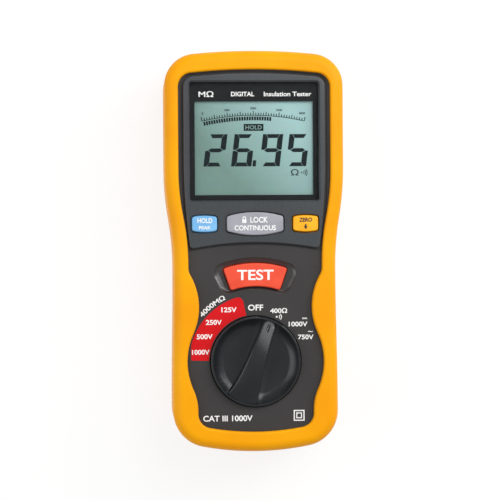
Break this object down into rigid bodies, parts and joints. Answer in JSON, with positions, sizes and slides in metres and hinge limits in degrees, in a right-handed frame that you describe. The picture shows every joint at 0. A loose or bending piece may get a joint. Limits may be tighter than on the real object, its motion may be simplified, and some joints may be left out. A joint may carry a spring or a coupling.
{
  "type": "insulation resistance tester",
  "caption": "Hand-held insulation resistance tester in a rubber holster, with display, keys, test key, range knob, 4 mm sockets and a tilt stand.",
  "frame": {"origin": "on the resting plane, under the middle of the bounding box, with the tester on its back", "axes": "+Z out of the display face, +Y towards the socket end, +X to the user's right"},
  "size_m": [0.0894, 0.2, 0.05],
  "materials": {
    "holster_rubber": "satin",
    "case_plastic": "fine texture",
    "fascia_plastic": "fine texture",
    "knob_plastic": "satin",
    "lens_acrylic": "polished",
    "mask_print": "printed",
    "display_glass": "polished",
    "diffuser": "frosted",
    "strip_rubber": "matte",
    "tray_plastic": "satin",
    "blue_key": "satin",
    "grey_key": "satin",
    "amber_key": "satin",
    "red_key": "satin",
    "switch_plastic": "satin",
    "acetal": "satin",
    "steel": "zinc plated",
    "spring_steel": "nickel plated",
    "contact_brass": "plated",
    "board_laminate": "solder mask",
    "ferrite": "matte",
    "copper": "enamelled wire",
    "relay_case": "satin",
    "capacitor_sleeve": "satin",
    "film_case": "satin",
    "chip_resin": "matte",
    "resistor_body": "glossy",
    "fuse_glass": "polished",
    "cell_can": "printed sleeve",
    "lead_sleeve": "satin"
  },
  "bodies": {
    "case": {"holster": "holster_rubber", "front_cover": "case_plastic", "rear_cover": "case_plastic", "battery_cover": "case_plastic", "display_fascia": "fascia_plastic", "window_lens": "lens_acrylic", "window_mask": "mask_print", "lcd_glass": "display_glass", "backlight": "diffuser", "lcd_strips": "strip_rubber", "lcd_frame": "tray_plastic", "key_switches": "switch_plastic", "test_switch": "switch_plastic", "detent_ring": "acetal", "main_board": "board_laminate", "board_screws": "steel", "transformer_core": "ferrite", "transformer_winding": "copper", "relay": "relay_case", "smoothing_capacitors": "capacitor_sleeve", "test_voltage_capacitors": "film_case", "buzzer": "switch_plastic", "chips": "chip_resin", "range_resistors": "resistor_body", "fuse": "fuse_glass", "fuse_clips": "contact_brass", "terminal_block": "tray_plastic", "socket_contacts": "contact_brass", "battery_springs": "spring_steel", "battery_plates": "spring_steel", "battery_leads": "lead_sleeve", "case_screws": "steel", "battery_cover_screws": "steel", "stand_pin": "steel", "cell_1": "cell_can", "cell_2": "cell_can", "cell_3": "cell_can", "cell_4": "cell_can", "cell_5": "cell_can", "cell_6": "cell_can"},
    "knob": {"selector_knob": "knob_plastic", "rotor": "acetal", "detent_balls": "steel", "detent_springs": "spring_steel", "wiper_contacts": "contact_brass", "knob_screw": "steel"},
    "hold_key_cap": {"hold_key": "blue_key"},
    "lock_key_cap": {"lock_key": "grey_key"},
    "zero_key_cap": {"zero_key": "amber_key"},
    "test_key_cap": {"test_key": "red_key"},
    "stand": {"tilt_stand": "case_plastic"}
  },
  "joints": [
    {"name": "range_turn", "type": "hinge", "parent": "case", "child": "knob", "pos_m": [0, -0.055, 0.043], "axis": [0, 0, 1], "range_deg": [-40, 100]},
    {"name": "hold_press", "type": "slide", "parent": "case", "child": "hold_key_cap", "axis": [0, 0, -1], "range_m": [0, 0.0008], "stiffness_N_per_m": 800, "springref_m": -0.0005},
    {"name": "lock_press", "type": "slide", "parent": "case", "child": "lock_key_cap", "axis": [0, 0, -1], "range_m": [0, 0.0008], "stiffness_N_per_m": 800, "springref_m": -0.0005},
    {"name": "zero_press", "type": "slide", "parent": "case", "child": "zero_key_cap", "axis": [0, 0, -1], "range_m": [0, 0.0008], "stiffness_N_per_m": 800, "springref_m": -0.0005},
    {"name": "test_press", "type": "slide", "parent": "case", "child": "test_key_cap", "axis": [0, 0, -1], "range_m": [0, 0.0012], "stiffness_N_per_m": 800, "springref_m": -0.0005},
    {"name": "stand_swing", "type": "hinge", "parent": "case", "child": "stand", "pos_m": [0, 0.044, 0.0034], "axis": [1, 0, 0], "range_deg": [0, 75]}
  ]
}
